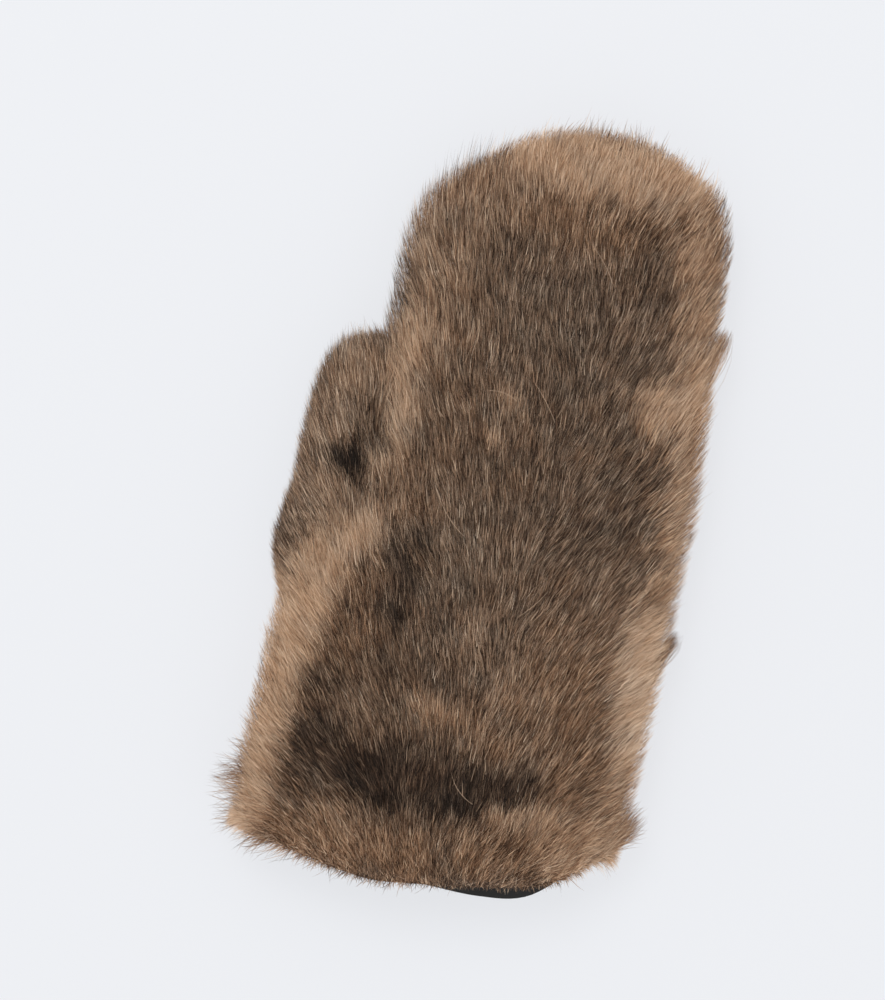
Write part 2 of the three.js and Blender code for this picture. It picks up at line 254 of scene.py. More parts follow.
def group_of(name, inputs, outputs):
    """An empty shader group with named sockets, and its input and output nodes."""
    group = bpy.data.node_groups.new(name, "ShaderNodeTree")
    for label, kind in inputs:
        group.interface.new_socket(label, in_out="INPUT", socket_type=kind)
    for label, kind in outputs:
        group.interface.new_socket(label, in_out="OUTPUT", socket_type=kind)
    return group, group.nodes.new("NodeGroupInput"), group.nodes.new("NodeGroupOutput")


def srgb(red, green, blue):
    """A colour as the eye names it, in the renderer's linear values."""
    shares = [value / 255 for value in (red, green, blue)]
    return (*(s / 12.92 if s < 0.04 else ((s + 0.055) / 1.055) ** 2.4 for s in shares), 1)


weave, given, result = group_of(
    "lining weave",
    [("Thread Width", "NodeSocketFloat")],
    [("Height", "NodeSocketFloat"), ("Roughness", "NodeSocketFloat")],
)
place = weave.nodes.new("ShaderNodeTexCoord")
per_thread = weave.nodes.new("ShaderNodeMath")
per_thread.operation = "DIVIDE"
per_thread.inputs[0].default_value = 1
weave.links.new(given.outputs["Thread Width"], per_thread.inputs[1])
threads = weave.nodes.new("ShaderNodeVectorMath")
threads.operation = "SCALE"
weave.links.new(place.outputs["Object"], threads.inputs[0])
weave.links.new(per_thread.outputs[0], threads.inputs["Scale"])
twill = weave.nodes.new("ShaderNodeTexWave")
twill.bands_direction = "DIAGONAL"
twill.inputs["Scale"].default_value = 0.32
twill.inputs["Distortion"].default_value = 0.6
weave.links.new(threads.outputs[0], twill.inputs["Vector"])
creases = weave.nodes.new("ShaderNodeTexNoise")
creases.inputs["Scale"].default_value = 55
creases.inputs["Detail"].default_value = 3
weave.links.new(place.outputs["Object"], creases.inputs["Vector"])
rise = weave.nodes.new("ShaderNodeMath")
rise.operation = "MULTIPLY_ADD"
rise.inputs[1].default_value = 6
weave.links.new(creases.outputs["Fac"], rise.inputs[0])
weave.links.new(twill.outputs["Fac"], rise.inputs[2])
weave.links.new(rise.outputs[0], result.inputs["Height"])
dull = weave.nodes.new("ShaderNodeMapRange")
dull.inputs["To Min"].default_value = 0.42
dull.inputs["To Max"].default_value = 0.62
weave.links.new(creases.outputs["Fac"], dull.inputs["Value"])
weave.links.new(dull.outputs[0], result.inputs["Roughness"])

lining_cloth = bpy.data.materials.new("dark lining cloth")
lining_cloth.use_nodes = True
nodes, links = lining_cloth.node_tree.nodes, lining_cloth.node_tree.links
lining_cloth_shader = nodes["Principled BSDF"]
lining_cloth_shader.inputs["Base Color"].default_value = srgb(15, 13, 13)
lining_cloth_shader.inputs["Sheen Weight"].default_value = 0.1
woven = nodes.new("ShaderNodeGroup")
woven.node_tree = weave
woven.inputs["Thread Width"].default_value = 0.0004
relief = nodes.new("ShaderNodeBump")
relief.inputs["Strength"].default_value = 0.35
relief.inputs["Distance"].default_value = 0.0001
links.new(woven.outputs["Height"], relief.inputs["Height"])
links.new(relief.outputs["Normal"], lining_cloth_shader.inputs["Normal"])
links.new(woven.outputs["Roughness"], lining_cloth_shader.inputs["Roughness"])

# Rings along each bag, and points round each ring. Both bags start past the cuff and are cut off there.
HAND_MESH = (56, 72)
THUMB_MESH = (30, 40)
INNER_ROOT = THUMB_ROOT + LINING_WALL
lining = closed_bag("lining_bag", hand_section, BAG_START, HAND_LENGTH, 0, *HAND_MESH)
lining_thumb = closed_bag("thumb_outside", thumb_section, THUMB_ROOT, THUMB_TIP, 0, *THUMB_MESH)
combine(lining, lining_thumb, "UNION")
hollow = closed_bag("hollow", hand_section, HOLLOW_START, HAND_LENGTH, -LINING_WALL, *HAND_MESH)
thumb_hollow = closed_bag("thumb_inside", thumb_section, INNER_ROOT, THUMB_TIP, -LINING_WALL, *THUMB_MESH)
combine(hollow, thumb_hollow, "UNION")
combine(lining, hollow, "DIFFERENCE")
combine(lining, below_cuff("palm_edge", 1, -LINING_SHOW, BLOCK_LOW), "DIFFERENCE")
combine(lining, below_cuff("back_edge", 0, LINING_RECESS, SEAM_HEIGHT), "DIFFERENCE")
lining.data.materials.clear()
lining.data.materials.append(lining_cloth)
for face in lining.data.polygons:
    face.material_index = 0
lining.data.shade_smooth()
lining.data.set_sharp_from_angle(angle=SHARP_FOLD)
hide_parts("lining")
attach(lining, "root")

# The pelts are tanned skins a little over 1 mm thick, cut in a back, a palm and a thumb and sewn together
# along the side seam. Only their cut edges at the cuff and the dark skin between the hairs ever show.
SKIN_INSIDE = 0.35
SKIN_OUTSIDE = 1.7
SKIN_ABOVE_TABLE = 0.25
SKIN_TURNS = 48
JUST_BELOW_SEAM = -0.0001
CUFF_GUESS = 8.0
CUFF_ROUNDS = 4
HAND_STATIONS = 60
THUMB_STATIONS = 40

leather = bpy.data.materials.new("tanned skin")
leather.use_nodes = True
nodes, links = leather.node_tree.nodes, leather.node_tree.links
leather_shader = nodes["Principled BSDF"]
leather_shader.inputs["Roughness"].default_value = 0.85
where = nodes.new("ShaderNodeTexCoord")
grain = nodes.new("ShaderNodeTexNoise")
grain.inputs["Scale"].default_value = 900
grain.inputs["Detail"].default_value = 4
links.new(where.outputs["Object"], grain.inputs["Vector"])
skin_colour = nodes.new("ShaderNodeValToRGB")
skin_colour.color_ramp.elements[0].color = srgb(52, 40, 32)
skin_colour.color_ramp.elements[1].color = srgb(88, 68, 54)
links.new(grain.outputs["Fac"], skin_colour.inputs["Fac"])
links.new(skin_colour.outputs["Color"], leather_shader.inputs["Base Color"])
pores = nodes.new("ShaderNodeBump")
pores.inputs["Strength"].default_value = 0.4
pores.inputs["Distance"].default_value = 0.0002
links.new(grain.outputs["Fac"], pores.inputs["Height"])
links.new(pores.outputs["Normal"], leather_shader.inputs["Normal"])


def cuff_start(turn, grow):
    """Where the fur's edge lies at each turn of the hand's bag, closed in on from a first guess."""
    y = np.full(turn.shape, CUFF_GUESS)
    for _ in range(CUFF_ROUNDS):
        x = on_section(hand_section, y, turn, grow)[..., 0]
        y = cuff_line(x, np.where(np.sin(turn) < 0, 1.0, 0.0))
    return y


def hand_grid(turn, grow, stations):
    """Points of the hand's bag from the cuff's edge to the fingertips."""
    return sweep(hand_section, cuff_start(turn, grow), HAND_LENGTH, turn, grow, stations)


def thumb_grid(turn, grow, stations):
    """Points of the thumb's bag from its root to its tip."""
    return sweep(thumb_section, np.full(turn.shape, THUMB_ROOT), THUMB_TIP, turn, grow, stations)


def quads(rows):
    """The faces of a grid of point numbers."""
    corners = [rows[:-1, :-1], rows[:-1, 1:], rows[1:, 1:], rows[1:, :-1]]
    return np.stack(corners, -1).reshape(-1, 4).tolist()


def skin(name, inner, outer):
    """A skin as a closed wall between two grids of the same shape, kept clear of the table."""
    stations, turns = outer.shape[:2]
    points = np.concatenate([outer.reshape(-1, 3), inner.reshape(-1, 3)])
    points[:, 2] = np.maximum(points[:, 2], SKIN_ABOVE_TABLE)
    each = stations * turns
    number = np.arange(each).reshape(stations, turns)
    faces = quads(number) + quads(number[::-1] + each)
    border = np.concatenate([number[0], number[1:, -1], number[-1, -2::-1], number[-2:0:-1, 0]])
    following = np.roll(border, -1)
    faces += np.stack([border, border + each, following + each, following], -1).tolist()
    return mesh_object(name, points, faces, leather)


back_turn = np.linspace(0.0, math.pi, SKIN_TURNS)
palm_turn = np.linspace(-math.pi, JUST_BELOW_SEAM, SKIN_TURNS)
thumb_turn = np.linspace(-math.pi, math.pi, SKIN_TURNS)
for name, node, grid_of, turn, stations in (
    ("back_skin", "back_fur", hand_grid, back_turn, HAND_STATIONS),
    ("palm_skin", "palm_fur", hand_grid, palm_turn, HAND_STATIONS),
    ("thumb_skin", "thumb_fur", thumb_grid, thumb_turn, THUMB_STATIONS),
):
    inner, outer = (grid_of(turn, grown_by, stations) for grown_by in (SKIN_INSIDE, SKIN_OUTSIDE))
    piece = skin(name, inner, outer)
    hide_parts(node)
    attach(piece, "root")

# The fur of the back is deep and soft: short woolly underfur, and over it guard hairs of about 18 mm that
# grow from the cuff to the fingertips and fan out to both sides. Each hair is a tapered strip, light and
# dark hairs mixed, and neighbouring hairs lean together at their tips in small locks.
WARM_BANDS = 8
BAND_MARGIN = 0.06
END_MARGIN = 0.02
STRIP_HALF = 0.0022
HAIR_ABOVE_TABLE = 0.1
PRESSED_LAYERS = 7
LOWEST_LAYER = 0.3
LAYER_STEP = 0.12
CUFF_FLUFF = 9
FINGER_MIDDLE = 1.25
SIDE_DEPTH = 0.55
FUR_LEAN = -10
CORNER_TURN = 40
CORNER_FADE = 16
TIP_TURN = 14
RIPPLE_WAVES = 7
RIPPLE_SCALE = 2.6
STREAK_SCALE = 2.4
PLAIN_TONE = 0.4
PLAIN_WARMTH = 0.4
DARK_HAIR = -0.28
PALE_HAIR = 0.34

fur_colour, given, result = group_of(
    "fur colour",
    [("Tone", "NodeSocketFloat"), ("Warmth", "NodeSocketFloat")],
    [("Color", "NodeSocketColor")],
)
tones = []
for label, colours in (
    ("grey", ((28, 23, 19), (62, 51, 43), (102, 86, 73), (142, 120, 101), (186, 161, 138), (226, 206, 184))),
    ("tan", ((32, 21, 14), (74, 50, 35), (118, 84, 61), (160, 121, 91), (200, 161, 127), (232, 200, 168))),
):
    ramp = fur_colour.nodes.new("ShaderNodeValToRGB")
    ramp.label = label
    while len(ramp.color_ramp.elements) < len(colours):
        ramp.color_ramp.elements.new(0.5)
    for step, colour in enumerate(colours):
        ramp.color_ramp.elements[step].position = step / (len(colours) - 1)
        ramp.color_ramp.elements[step].color = srgb(*colour)
    fur_colour.links.new(given.outputs["Tone"], ramp.inputs["Fac"])
    tones.append(ramp)
both = fur_colour.nodes.new("ShaderNodeMix")
both.data_type = "RGBA"
fur_colour.links.new(given.outputs["Warmth"], both.inputs["Factor"])
fur_colour.links.new(tones[0].outputs["Color"], both.inputs["A"])
fur_colour.links.new(tones[1].outputs["Color"], both.inputs["B"])
fur_colour.links.new(both.outputs["Result"], result.inputs["Color"])

fur = bpy.data.materials.new("brown fur")
fur.use_nodes = True
nodes, links = fur.node_tree.nodes, fur.node_tree.links
fur_shader = nodes["Principled BSDF"]
fur_shader.inputs["Roughness"].default_value = 0.68
fur_shader.inputs["Specular IOR Level"].default_value = 0.2
tint = nodes.new("ShaderNodeGroup")
tint.node_tree = fur_colour
for label in ("Tone", "Warmth"):
    written = nodes.new("ShaderNodeAttribute")
    written.attribute_name = label.lower()
    links.new(written.outputs["Fac"], tint.inputs[label])
links.new(tint.outputs["Color"], fur_shader.inputs["Base Color"])

# Markings in mm, painted one over the other, each along a line from x, y to x2, y2. Tone goes from 0, nearly
# black, to 1, cream, and warmth from 0, grey, to 1, tan. Most rows are the fur's own colour. The last two
# darken the crease and the crotch between the thumb and the hand: the crease partly with dark hair and
# partly with painted shade, and the crotch with painted shade.
marks_and_painted_shade = np.array(
    [
        (-5, 20, 10, 250, 70, 0.43, 0.35, 1.0),
        (20, 60, 45, 110, 24, 0.56, 0.6, 0.8),
        (-5, 150, 5, 215, 30, 0.46, 0.35, 0.8),
        (2, 122, 8, 112, 12, 0.52, 0.5, 0.7),
        (-30, 130, -25, 220, 14, 0.50, 0.5, 0.6),
        (-20, 254, 46, 256, 14, 0.56, 0.9, 0.7),
        (-46, 252, -24, 268, 10, 0.60, 0.7, 0.9),
        (-50, 240, -44, 205, 11, 0.68, 0.6, 0.9),
        (-44, 232, -34, 248, 9, 0.60, 0.6, 0.7),
        (-50, 200, -54, 168, 8, 0.91, 0.7, 1.0),
        (-38, 196, -42, 180, 5, 0.62, 0.6, 0.8),
        (-53, 168, -54, 153, 10, 0.96, 0.6, 1.0),
        (-46, 146, -42, 138, 8, 0.52, 0.8, 0.7),
        (-58, 126, -70, 92, 12, 0.95, 0.7, 1.0),
        (-72, 92, -76, 12, 13.5, 0.94, 0.7, 1.0),
        (-87, 70, -89, 18, 6, 0.34, 0.3, 0.9),
        (-20, 274, 40, 276, 12, 0.88, 0.7, 1.0),
        (-6, 268, 16, 270, 8, 0.92, 0.7, 0.8),
        (46, 252, 62, 178, 9, 0.80, 0.8, 0.9),
        (44, 190, 62, 202, 10, 0.94, 0.7, 1.0),
        (58, 240, 56, 214, 5, 0.86, 0.6, 0.7),
        (60, 176, 66, 100, 8, 0.86, 0.7, 0.9),
        (46, 104, 50, 90, 6, 0.54, 0.8, 0.7),
        (56, 114, 60, 96, 8, 1.00, 0.6, 0.95),
        (60, 98, 66, 56, 12, 1.04, 0.5, 1.0),
        (64, 54, 66, 40, 8, 0.80, 0.7, 0.9),
        (-46, 108, -50, 78, 8, 0.46, 0.85, 0.9),
        (-33, 122, -34, 98, 6, 0.24, 0.3, 0.9),
        (-56, 66, -57, 30, 6, 0.26, 0.5, 0.9),
        (-46, 46, -28, 38, 13, 0.23, 0.3, 0.9),
        (-30, 40, -24, 36, 8.5, 0.03, 0.3, 0.95),
        (-3, 38, 6, 37, 8.5, 0.02, 0.3, 0.95),
        (-22, 42, 25, 42, 10, 0.22, 0.3, 0.85),
        (34, 88, 45, 48, 11, 0.58, 0.8, 0.9),
        (-44, 62, -38, 54, 5, 0.54, 0.5, 0.8),
        (-56, 11, -10, 12, 10, 0.58, 1.0, 1.0),
        (12, 18, 44, 26, 10, 0.60, 1.0, 1.0),
        (20, 33, 37, 35, 4.5, 0.88, 0.9, 0.95),
        (-50, 21, -32, 18, 4, 0.72, 0.9, 0.8),
        (20, 24, 30, 24, 5, 0.44, 1.0, 0.8),
        (44, 24, 62, 40, 9, 0.80, 0.8, 0.9),
        (58, 24, 64, 30, 8, 0.84, 0.7, 0.9),
        (-20, 67, 0, 64, 4, 0.72, 0.9, 0.9),
        (2, 64, 12, 56, 5, 0.64, 0.9, 0.7),
        (-8, 92, -5, 102, 4, 0.68, 0.6, 0.8),
        (10, 76, 12, 86, 5, 0.66, 0.7, 0.8),
        (-12, 172, -10, 184, 3, 0.80, 0.6, 0.8),
        (-18, 116, -14, 128, 8, 0.56, 0.4, 0.7),
        (30, 232, 26, 250, 5, 0.30, 0.3, 0.5),
        (-76, 190, -72, 140, 14, 0.54, 0.4, 1.0),
        (-65, 184, -66, 178, 5, 0.72, 0.4, 0.8),
        (-68, 166, -69, 160, 5, 0.66, 0.4, 0.8),
        (-68, 140, -66, 128, 8, 0.74, 0.5, 0.9),
        # Partly dark hair and partly painted shade: the crease between the thumb and the hand.
        (-58, 174, -56, 160, 3, 0.26, 0.3, 0.7),
        # Painted shade: the crotch between the thumb and the hand.
        (-63, 153, -62, 148, 5, 0.05, 0.2, 0.95),
    ],
    dtype=[(column, float) for column in ("x", "y", "x2", "y2", "wide", "tone", "warmth", "strength")],
)


def tone_of_marks_and_shade(x, y, ragged):
    """Tone and warmth of the fur at x, y from its markings and painted shade, their edges moved by ragged,
    in mm.
    """
    tone = np.full(x.shape, PLAIN_TONE)
    warmth = np.full(x.shape, PLAIN_WARMTH)
    for mark in marks_and_painted_shade:
        run = np.array([mark["x2"] - mark["x"], mark["y2"] - mark["y"]])
        share = np.clip(((x - mark["x"]) * run[0] + (y - mark["y"]) * run[1]) / run.dot(run), 0, 1)
        away = np.hypot(x - mark["x"] - share * run[0], y - mark["y"] - share * run[1])
        cover = np.clip(1.5 - (away + ragged) / mark["wide"], 0, 1)
        cover = cover * cover * (3 - 2 * cover) * mark["strength"]
        tone += (mark["tone"] - tone) * cover
        warmth += (mark["warmth"] - warmth) * cover
    return tone, warmth


def unit(vectors):
    """The vectors at length 1."""
    return vectors / np.maximum(np.linalg.norm(vectors, axis=-1, keepdims=True), 1e-9)


def ripple(points, wave, seed):
    """A smooth, seeded, wandering value between about -1 and 1, with humps about wave mm apart."""
    rng = np.random.default_rng(seed)
    total = np.zeros(points.shape[:-1])
    for _ in range(RIPPLE_WAVES):
        heading = unit(rng.normal(size=3)) * 2 * math.pi / (wave * rng.uniform(0.7, 1.5))
        total += np.sin(points @ heading + rng.uniform(0, 2 * math.pi))
    return total / RIPPLE_SCALE


def scatter(grid, count, rng):
    """Seeded random points spread evenly over a grid of points, and the surface's direction there."""
    corner, right = grid[:-1, :-1].reshape(-1, 3), grid[:-1, 1:].reshape(-1, 3)
    above, far = grid[1:, :-1].reshape(-1, 3), grid[1:, 1:].reshape(-1, 3)
    facing = np.cross(above - right, far - corner)
    area = np.linalg.norm(facing, axis=1)
    pick = rng.choice(len(area), count, p=area / area.sum())
    s, t = rng.random((2, count, 1))
    near_side = corner[pick] * (1 - s) + right[pick] * s
    far_side = above[pick] * (1 - s) + far[pick] * s
    return near_side * (1 - t) + far_side * t, unit(facing[pick])


def lie_of_fur(points):
    """The way the fur lies seen from above: up the hand, fanning out to the sides and round the cuff."""
    side = np.clip((points[:, 0] - CUFF_MIDDLE) / CUFF_HALF, -1.3, 1.3)
    y = points[:, 1] + ORIGIN_FROM_CUFF
    far_fan = np.interp(y, (0, 60, 120, 165, 200, 235, 276), (50, 42, 46, 44, 28, 14, 12))
    thumb_fan = np.interp(y, (0, 60, 120, 165, 235), (54, 32, 20, 12, 6))
    fan = np.where(side > 0, far_fan, thumb_fan)
    corner = CORNER_TURN * side**3 * np.exp(-np.clip(y, 0, None) / CORNER_FADE)
    tip = TIP_TURN * np.clip((y - 225) / 50, 0, 1) * (1 + side)
    wander = 7 * ripple(points, 30, 11) + 6 * ripple(points, 9, 12)
    angle = np.radians(FUR_LEAN + side * fan + corner + tip + wander)
    return np.stack([np.sin(angle), np.cos(angle), np.zeros(len(points))], -1)


def depth_of_fur(points):
    """How deep the fur is, against 1 elsewhere: up to half again along the two sides of the fingers."""
    across = points[:, 0] - FINGER_MIDDLE
    beside = np.clip((np.abs(across) / FINGER_FAR_SIDE - 0.62) / 0.3, 0, 1)
    y = points[:, 1] + ORIGIN_FROM_CUFF
    thumb_side = np.interp(y, (120, 150, 205, 230, 256, 274), (0, 0.5, 0.5, 1, 1, 0))
    far_side = np.interp(y, (120, 150, 190, 215, 240, 256, 266, 276), (0, 0.4, 0.3, -0.3, -0.4, 0.3, 1, 0))
    return 1 + SIDE_DEPTH * beside * np.where(across > 0, far_side, thumb_side)


def grow(points, facing, lie, length, lifts, reach):
    """Hairs as rows of points, one step for each lift: they rise, lie over and stay within reach mm."""
    out = np.sum(lie * facing, axis=1, keepdims=True)
    ahead = unit(lie - out * facing * 0.6)
    steps = np.stack([unit(ahead + lift[:, None] * facing) for lift in lifts], 1)
    height = np.sum(steps * facing[:, None], axis=2).mean(1)
    length = np.minimum(length, reach / np.maximum(height, 0.05))
    walk = steps * (length / len(lifts))[:, None, None]
    return np.concatenate([points[:, None], points[:, None] + np.cumsum(walk, 1)], 1)


def gather(paths, centres, pull, rng):
    """Leans each hair towards the nearest lock's middle, more at its tip, and says which lock that is."""
    tree = kdtree.KDTree(len(centres))
    for number, path in enumerate(centres):
        tree.insert(path[0], number)
    tree.balance()
    nearest = np.array([tree.find(path[0])[1] for path in paths])
    along = (np.arange(paths.shape[1]) / (paths.shape[1] - 1)) ** 1.3
    share = along[None, :, None] * (pull * rng.uniform(0.3, 1.2, (len(paths), 1, 1)))
    return paths + (centres[nearest] - paths) * np.clip(share, 0, 0.9), nearest


def hair_piece(name, node, paths, facing, width, turned, tone, warmth):
    """One piece of fur: a tapered strip along each path, with its tone at every point and its warmth.

    Hairs pressed on the table lie in layers. In the map for the baked colour each band of warmth has a
    column, where tone runs across and the hair's length runs up.
    """
    count, joints = paths.shape[:2]
    paths = paths.copy()
    layer = np.arange(count) % PRESSED_LAYERS
    paths[..., 2] = np.maximum(paths[..., 2], LOWEST_LAYER + layer[:, None] * LAYER_STEP)
    heading = unit(np.gradient(paths, axis=1))
    side = unit(np.cross(heading, facing[:, None]))
    up = np.cross(side, heading)
    across = side * np.cos(turned)[:, None, None] + up * np.sin(turned)[:, None, None]
    taper = np.interp(np.linspace(0, 1, joints), (0, 0.35, 0.75, 1), (0.75, 1, 0.75, 0))
    offset = across * (width[:, None] * taper / 2)[..., None]
    pairs = np.stack([paths - offset, paths + offset], 2)[:, :-1].reshape(count, -1, 3)
    points = np.concatenate([pairs, paths[:, -1:]], 1)
    points[..., 2] = np.maximum(points[..., 2], HAIR_ABOVE_TABLE)
    each = points.shape[1]
    strip = []
    for j in range(joints - 2):
        strip += [2 * j, 2 * j + 1, 2 * j + 3, 2 * j + 2]
    strip += [each - 3, each - 2, each - 1]
    corners = (np.arange(count)[:, None] * each + np.array(strip)).ravel()
    sizes = np.tile([4] * (joints - 2) + [3], count)
    mesh = bpy.data.meshes.new(name)
    mesh.vertices.add(count * each)
    mesh.vertices.foreach_set("co", (points * MM).astype(np.float32).ravel())
    mesh.loops.add(len(corners))
    mesh.loops.foreach_set("vertex_index", corners.astype(np.int32))
    mesh.polygons.add(len(sizes))
    mesh.polygons.foreach_set("loop_start", (np.cumsum(sizes) - sizes).astype(np.int32))
    mesh.update(calc_edges=True)
    mesh.shade_smooth()
    band = np.clip(np.floor(warmth * WARM_BANDS), 0, WARM_BANDS - 1)
    tone = np.clip(tone, 0, 1)
    at_points = np.concatenate([np.repeat(tone[:, :-1], 2, 1), tone[:, -1:]], 1)
    warm_at_points = np.repeat((band + 0.5) / WARM_BANDS, each)
    for label, values in (("tone", at_points.ravel()), ("warmth", warm_at_points)):
        mesh.attributes.new(label, "FLOAT", "POINT").data.foreach_set("value", values.astype(np.float32))
    along = np.append(np.repeat(np.arange(joints - 1), 2), joints - 1) / (joints - 1)
    edge = np.append(np.tile([-1.0, 1.0], joints - 1), 0.0)
    column = band[:, None] + BAND_MARGIN + (1 - 2 * BAND_MARGIN) * at_points
    u = column / WARM_BANDS + edge * STRIP_HALF
    v = np.broadcast_to(END_MARGIN + (1 - 2 * END_MARGIN) * along, u.shape)
    flat = np.stack([u.ravel(), v.ravel()], -1)[corners]
    mesh.uv_layers.new(name="OFBake").data.foreach_set("uv", flat.astype(np.float32).ravel())
    mesh.materials.append(fur)
    piece = bpy.data.objects.new(name, mesh)
    bpy.context.scene.collection.objects.link(piece)
    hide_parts(node)
    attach(piece, "root")
    return piece


def streaks(points, wave, seed):
    """As ripple, but drawn out into streaks along the way the fur lies."""
    lie = lie_of_fur(points) * wave
    return sum(ripple(points + lie * step, wave, seed) for step in (-1.5, -0.5, 0.5, 1.5)) / STREAK_SCALE


def tones_of(paths, rng, style):
    """Tone along each hair, and its warmth: the markings and painted shade where it ends, its own chance,
    dark at the root.
    """
    seen = paths[:, -2] * 0.4 + paths[:, -1] * 0.6
    ragged = 2 * ripple(seen, 9, 21) + 4 * streaks(seen, 4, 22) + rng.normal(0, 1.6, len(seen))
    tone, warmth = tone_of_marks_and_shade(seen[:, 0], seen[:, 1] + ORIGIN_FROM_CUFF, ragged)
    streak = 0.07 * streaks(seen, 2.2, 23) + 0.07 * streaks(seen, 5, 26)
    wave = 0.025 * ripple(seen * [0.6, 1, 1], 7, 24)
    chance = rng.random(len(seen))
    dark = np.where(chance < style["dark_share"], DARK_HAIR, 0)
    pale = np.where(chance > 1 - style["pale_share"], PALE_HAIR, 0)
    play = 0.25 + 3 * tone * (1 - tone)
    own = tone + play * (streak + wave + (dark + pale) + rng.normal(0, style["spread"], len(seen)))
    share = np.linspace(0, 1, paths.shape[1])
    along = np.interp(share, (0, 0.5, 0.85, 1), (style["root_tone"], 0, 0, style["tip_tone"]))
    bands = rng.normal(0, 0.06, paths.shape[:2])
    warmth = warmth + 0.14 * ripple(seen, 14, 25) + rng.normal(0, 0.14, len(seen))
    return own[:, None] + along * np.clip(2.5 * tone, 0, 1)[:, None] + bands, warmth


def inside(points, section, grow_by):
    """True where a point lies inside a bag."""
    y = points[:, 1] + ORIGIN_FROM_CUFF
    middle, height, half, rise, drop = section(y, grow_by)
    up = points[:, 2] - height
    roundness = np.where(up < 0, PALM_ROUNDNESS, BACK_ROUNDNESS)
    tall = np.maximum(np.where(up < 0, drop, rise), 1e-3)
    across = np.abs((points[:, 0] - middle) / np.maximum(half, 1e-3))
    return across**roundness + np.abs(up / tall) ** roundness < 1


def thumb_covers(points):
    """True where the thumb's bag stands over a point of the hand."""
    y = points[:, 1] + ORIGIN_FROM_CUFF
    return inside(points, thumb_section, SKIN_OUTSIDE) & (y > THUMB_ROOT) & (y < THUMB_TIP + SKIN_OUTSIDE)


def hand_covers(points):
    """True where the hand's bag stands over a point of the thumb."""
    return inside(points, hand_section, SKIN_OUTSIDE)


def coat(name, node, grid, count, covered, seed, style, keep=None):
    """Hairs of one style on the parts of a grid that nothing covers, fluffier at the cuff."""
    rng = np.random.default_rng(seed)
    points, facing = scatter(grid, count, rng)
    free = ~covered(points)
    if keep is not None:
        free &= keep(points)
    points, facing = points[free], facing[free]
    middles, middles_facing = scatter(grid, style["locks"], rng)

    def grown(at, way):
        number = len(at)
        edge = at[:, 1] + ORIGIN_FROM_CUFF - cuff_line(at[:, 0], at[:, 2] < SEAM_HEIGHT)
        fluff = np.exp(-np.maximum(edge, 0) / CUFF_FLUFF)
        deep = depth_of_fur(at)
        stray = rng.normal(0, 1, at.shape) * (style["stray"] + 0.3 * fluff)[:, None] * [1, 1, 0.3]
        flow = lie_of_fur(at) + stray
        length = rng.uniform(*style["length"], number) * (1 - 0.4 * fluff) * deep
        lifts = [lift + rng.normal(0, 0.1, number) + 0.25 * fluff for lift in style["lifts"]]
        reach = style["reach"] * rng.uniform(0.5, 1.2, number) * (1 - 0.25 * fluff) * deep
        low, high = style["above"]
        start = (low + (high - low) * rng.random(number) ** 2) * (1 - 0.25 * fluff) * deep
        return grow(at + way * start[:, None], way, flow, length, lifts, reach)

    paths, lock = gather(grown(points, facing), grown(middles, middles_facing), style["gather"], rng)
    tone, warmth = tones_of(paths, rng, style)
    tone += rng.normal(0, style["lock_spread"], len(middles))[lock][:, None]
    width = rng.uniform(*style["width"], len(paths))
    turned = rng.uniform(-1, 1, len(paths)) * math.radians(style["turned"])
    return hair_piece(name, node, paths, facing, width, turned, tone, warmth)


# A style says in mm how far above the skin its hairs start, how long and wide they are and how far they
# reach. Lifts are how steeply each step of a hair rises. Stray, turned and gather are how unruly, twisted
# and drawn together the hairs are. The rest is tone: its spread, and what the root and the tip add to it.
cover_hair = {
    "above": (0, 0),
    "length": (7.5, 14),
    "width": (0.13, 0.3),
    "lifts": (0.72, 0.4),
    "reach": 8,
    "locks": 6000,
    "gather": 0.26,
    "stray": 0.13,
    "turned": 65,
    "spread": 0.12,
    "lock_spread": 0.06,
    "root_tone": -0.25,
    "tip_tone": 0.05,
    "dark_share": 0.2,
    "pale_share": 0.2,
}
guard_hair = dict(
    cover_hair,
    length=(15, 23),
    width=(0.1, 0.22),
    lifts=(0.62, 0.38, 0.24),
    reach=10.5,
    locks=2500,
    gather=0.4,
    stray=0.16,
    tip_tone=-0.12,
    dark_share=0.35,
)
underfur = dict(
    cover_hair,
    length=(6, 10),
    width=(0.5, 1.0),
    lifts=(0.7, 0.35),
    reach=5.5,
    stray=0.2,
    spread=0.06,
    tip_tone=0.0,
    dark_share=0.0,
    pale_share=0.0,
)
# The tips stand in the fur, not on the skin: they are the ends of hairs whose roots are out of sight.
hair_tips = dict(
    cover_hair,
    above=(2.4, 8.5),
    length=(4, 9),
    width=(0.16, 0.32),
    lifts=(0.42,),
    reach=3.2,
    gather=0.12,
    spread=0.18,
    root_tone=-0.22,
    tip_tone=0.18,
    dark_share=0.22,
    pale_share=0.22,
)
FUR_TURNS = 160
FUR_STATIONS = 200
MIDWAY = 3
back_grid = hand_grid(np.linspace(0.0, math.pi, FUR_TURNS), SKIN_OUTSIDE, FUR_STATIONS)


def on_fingers(points):
    """True on the fingers' half of the mitten."""
    return points[:, 1] > MIDWAY


def on_hand(points):
    """True on the cuff's half of the mitten."""
    return points[:, 1] <= MIDWAY


coat("back_finger_tips", "back_fur", back_grid, 340000, thumb_covers, 31, hair_tips, on_fingers)
coat("back_hand_tips", "back_fur", back_grid, 340000, thumb_covers, 32, hair_tips, on_hand)
coat("back_hair", "back_fur", back_grid, 62000, thumb_covers, 33, cover_hair)
coat("back_guard_hair", "back_fur", back_grid, 18000, thumb_covers, 34, guard_hair)
coat("back_underfur", "back_fur", back_grid, 24000, thumb_covers, 35, underfur)

